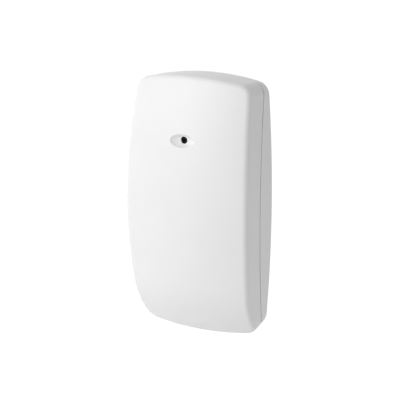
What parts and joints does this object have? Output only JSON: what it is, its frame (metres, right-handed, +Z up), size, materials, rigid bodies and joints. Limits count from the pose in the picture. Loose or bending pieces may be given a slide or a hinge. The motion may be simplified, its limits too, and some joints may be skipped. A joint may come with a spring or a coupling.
{
  "type": "glass break sensor",
  "caption": "White wall mounted acoustic sensor: bowed crowned cover with an oval sound port, swinging on a shallow rear base that holds the board.",
  "frame": {"origin": "middle of the back face, on the wall", "axes": "+X right seen from the front, +Y into the wall, +Z up"},
  "size_m": [0.0566, 0.0262, 0.1088],
  "materials": {
    "housing": "white moulded, very fine texture, low sheen",
    "board": "green solder mask",
    "screw_steel": "zinc plated",
    "capsule_metal": "satin",
    "boot_rubber": "matt",
    "screen_mesh": "fine woven mesh",
    "terminal_body": "green, satin",
    "clamp_metal": "tin plated",
    "trimmer_body": "blue, satin",
    "trimmer_rotor": "ivory",
    "switch_body": "black, satin",
    "switch_plunger": "off white",
    "pin_metal": "gold plated",
    "strip_black": "black, satin",
    "shunt_black": "black, gloss",
    "chip_black": "black, matt",
    "relay_body": "cream",
    "lead_tin": "tin plated",
    "can_metal": "bright satin",
    "crystal_metal": "nickel plated",
    "led_body": "off white",
    "chip_ceramic": "tan ceramic"
  },
  "bodies": {
    "base": {"rear_base": "housing", "circuit_board": "board", "board_screws": "screw_steel", "microphone_capsule": "capsule_metal", "microphone_boot": "boot_rubber", "terminal_block": "terminal_body", "terminal_screws": "screw_steel", "terminal_clamps": "clamp_metal", "sensitivity_trimmer": "trimmer_body", "tamper_switch": "switch_body", "jumper_pins": "pin_metal", "jumper_strips": "strip_black", "jumper_shunts": "shunt_black", "microcontroller": "chip_black", "audio_amplifier": "chip_black", "alarm_relay": "relay_body", "voltage_regulator": "chip_black", "surge_diodes": "chip_black", "component_leads": "lead_tin", "can_capacitors": "can_metal", "can_seats": "strip_black", "crystal": "crystal_metal", "status_leds": "led_body", "small_chips": "chip_ceramic", "chip_ends": "lead_tin"},
    "cover": {"front_cover": "housing", "dust_screen": "screen_mesh"},
    "plunger": {"tamper_plunger": "switch_plunger"},
    "rotor": {"trimmer_rotor": "trimmer_rotor"}
  },
  "joints": [
    {"name": "cover_swing", "type": "hinge", "parent": "base", "child": "cover", "pos_m": [0, -0.00309, 0.054], "axis": [-1, 0, 0], "range_deg": [0, 30]},
    {"name": "tamper_press", "type": "slide", "parent": "base", "child": "plunger", "axis": [0, -1, 0], "range_m": [0, 0.001]},
    {"name": "trimmer_turn", "type": "hinge", "parent": "base", "child": "rotor", "pos_m": [0.0155, -0.0111, 0.012], "axis": [0, -1, 0], "range_deg": [-130, 130]}
  ],
  "couplings": [
    {"joint": "tamper_press", "follows": "cover_swing", "m_per_rad": 0.0019}
  ]
}
